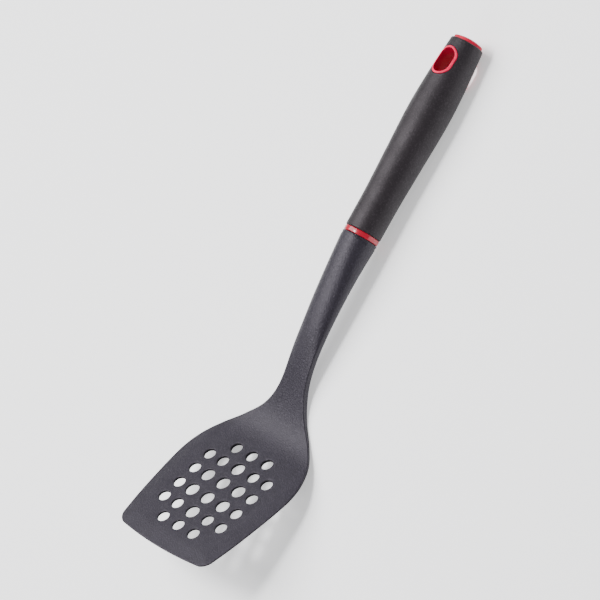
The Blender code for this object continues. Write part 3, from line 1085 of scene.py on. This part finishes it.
class SPATULA_OT_head(bpy.types.Operator):
    """Blade, drain holes, neck and tang in one moulding"""

    bl_idname = "spatula.head"
    bl_label = "Head"

    def execute(self, context):
        settings = context.scene.spatula_head
        finished(build_head(settings), nylon_finish(settings), "black_nylon", "turner_head")
        return {"FINISHED"}


class SPATULA_OT_collar(bpy.types.Operator):
    """Red ring between the neck and the grip"""

    bl_idname = "spatula.collar"
    bl_label = "Collar"

    def execute(self, context):
        settings = context.scene.spatula_handle
        look = red_finish("collar_red_plastic", settings.collar_red, settings, 1.0, COLLAR_TINT)
        finished(build_collar(), look, "red_collar", "collar_band")
        return {"FINISHED"}


class SPATULA_OT_grip(bpy.types.Operator):
    """Soft barrel of the handle"""

    bl_idname = "spatula.grip"
    bl_label = "Grip"

    def execute(self, context):
        settings = context.scene.spatula_handle
        finished(build_grip(), rubber_finish(settings), "soft_rubber", "soft_grip")
        return {"FINISHED"}


class SPATULA_OT_eyelets(bpy.types.Operator):
    """Both halves of the hanging hole's liner"""

    bl_idname = "spatula.eyelets"
    bl_label = "Hanging hole liners"

    def execute(self, context):
        settings = context.scene.spatula_handle
        look = red_finish(
            "liner_red_plastic", settings.liner_red, settings, 0.0, LINER_TINT, LINER_WALL_SHADE
        )
        for name, side, node in (
            ("front_hang_liner", 1, "front_eyelet"),
            ("back_hang_liner", -1, "back_eyelet"),
        ):
            finished(build_eyelet(name, side, settings), look, "red_eyelet", node)
        return {"FINISHED"}


class SPATULA_OT_cap(bpy.types.Operator):
    """Domed cap in the grip's far end"""

    bl_idname = "spatula.cap"
    bl_label = "End cap"

    def execute(self, context):
        settings = context.scene.spatula_handle
        look = red_finish("cap_red_plastic", settings.cap_red, settings, 0.0, CAP_TINT)
        finished(build_cap(), look, "red_cap", "end_cap")
        return {"FINISHED"}


class SPATULA_OT_core(bpy.types.Operator):
    """Finish of the two core halves inside the grip"""

    bl_idname = "spatula.core"
    bl_label = "Core"

    def execute(self, context):
        look = core_finish()
        for name in ("core_front_half", "core_back_half"):
            node = frame["nodes"][name]
            for index in range(len(node.data.materials)):
                node.data.materials[index] = look
        return {"FINISHED"}


CAMERA_TARGET = (-0.02119, -0.00756, 0.012)
CAMERA_DISTANCE = 1.66208
CAMERA_AZIMUTH = radians(-3.0981)
CAMERA_ELEVATION = radians(45.7496)
CAMERA_ROLL = radians(59.8817)


def aimed(direction, roll=0.0):
    """Rotation that looks along a direction with level sides, then rolls."""
    turn = direction.to_track_quat("-Z", "Y").to_matrix().to_4x4()
    return turn @ Matrix.Rotation(roll, 4, "Z")


def add_camera(settings):
    data = bpy.data.cameras.new("studio_camera")
    data.lens = settings.lens
    data.sensor_width = 36.0
    camera = bpy.data.objects.new("studio_camera", data)
    bpy.context.scene.collection.objects.link(camera)
    level = cos(CAMERA_ELEVATION)
    out = Vector(
        (level * cos(CAMERA_AZIMUTH), level * sin(CAMERA_AZIMUTH), sin(CAMERA_ELEVATION))
    )
    matrix = aimed(-out, -CAMERA_ROLL)
    matrix.translation = Vector(CAMERA_TARGET) + out * CAMERA_DISTANCE
    camera.matrix_world = matrix
    bpy.context.scene.camera = camera


LIGHT_TARGET = (0.0, 0.0, 0.02)
LIGHTS = (  # name, place, width, height
    ("key", (-0.85, 0.1, 1.7), 1.5, 1.9),
    ("top", (-0.15, 0.0, 1.5), 0.4, 0.3),
    ("fill", (0.3, -1.7, 1.2), 1.2, 0.9),
)
ROOM_COLOUR = (0.95, 0.96, 1.0, 1.0)
FLOOR_DROP = 0.0002


def add_light(name, position, width, height, power):
    """Soft rectangular light that points at the tool's middle."""
    data = bpy.data.lights.new(name, "AREA")
    data.shape = "RECTANGLE"
    data.size, data.size_y = width, height
    data.energy = power
    light = bpy.data.objects.new(name, data)
    bpy.context.scene.collection.objects.link(light)
    spot = Vector(position)
    matrix = aimed(Vector(LIGHT_TARGET) - spot)
    matrix.translation = spot
    light.matrix_world = matrix
    light.visible_camera = False


class SPATULA_OT_stage(bpy.types.Operator):
    """Pale floor, soft studio light and camera"""

    bl_idname = "spatula.stage"
    bl_label = "Stage"

    def execute(self, context):
        settings = context.scene.spatula_stage
        bm = bmesh.new()
        bmesh.ops.create_grid(bm, x_segments=1, y_segments=1, size=settings.floor_size / 2)
        bmesh.ops.translate(bm, verts=bm.verts, vec=(0.0, 0.0, CAD_BOX[0][2] - FLOOR_DROP))
        floor = mesh_object("floor", bm)
        floor.data.materials.append(floor_finish(settings))
        world = bpy.data.worlds.new("studio_room")
        world.use_nodes = True
        background = world.node_tree.nodes["Background"]
        background.inputs["Color"].default_value = ROOM_COLOUR
        background.inputs["Strength"].default_value = settings.sky
        context.scene.world = world
        for name, place, width, height in LIGHTS:
            power = getattr(settings, f"{name}_power")
            add_light(f"{name}_light", place, width, height, power)
        add_camera(settings)
        return {"FINISHED"}


class SPATULA_PT_panel(bpy.types.Panel):
    """Sizes, colours and building steps of the spatula"""

    bl_label = "Grill Spatula"
    bl_idname = "SPATULA_PT_panel"
    bl_space_type = "VIEW_3D"
    bl_region_type = "UI"
    bl_category = "Spatula"

    def draw(self, context):
        layout = self.layout
        for group in (
            context.scene.spatula_head,
            context.scene.spatula_handle,
            context.scene.spatula_stage,
        ):
            box = layout.box()
            for key in group.__annotations__:
                box.prop(group, key)
        for operator in OPERATORS:
            layout.operator(operator.bl_idname)


OPERATORS = (
    SPATULA_OT_head,
    SPATULA_OT_collar,
    SPATULA_OT_grip,
    SPATULA_OT_eyelets,
    SPATULA_OT_cap,
    SPATULA_OT_core,
    SPATULA_OT_stage,
)
GROUPS = {
    "spatula_head": SpatulaHeadSettings,
    "spatula_handle": SpatulaHandleSettings,
    "spatula_stage": SpatulaStageSettings,
}


def register():
    for group in GROUPS.values():
        bpy.utils.register_class(group)
    for name, group in GROUPS.items():
        setattr(bpy.types.Scene, name, bpy.props.PointerProperty(type=group))
    for operator in OPERATORS:
        bpy.utils.register_class(operator)
    bpy.utils.register_class(SPATULA_PT_panel)


def unregister():
    bpy.utils.unregister_class(SPATULA_PT_panel)
    for operator in reversed(OPERATORS):
        bpy.utils.unregister_class(operator)
    for name, group in reversed(list(GROUPS.items())):
        delattr(bpy.types.Scene, name)
        bpy.utils.unregister_class(group)


def main():
    register()
    bpy.ops.spatula.head()
    bpy.ops.spatula.collar()
    bpy.ops.spatula.grip()
    bpy.ops.spatula.eyelets()
    bpy.ops.spatula.cap()
    bpy.ops.spatula.core()
    bpy.ops.spatula.stage()


if __name__ == "__main__":
    main()
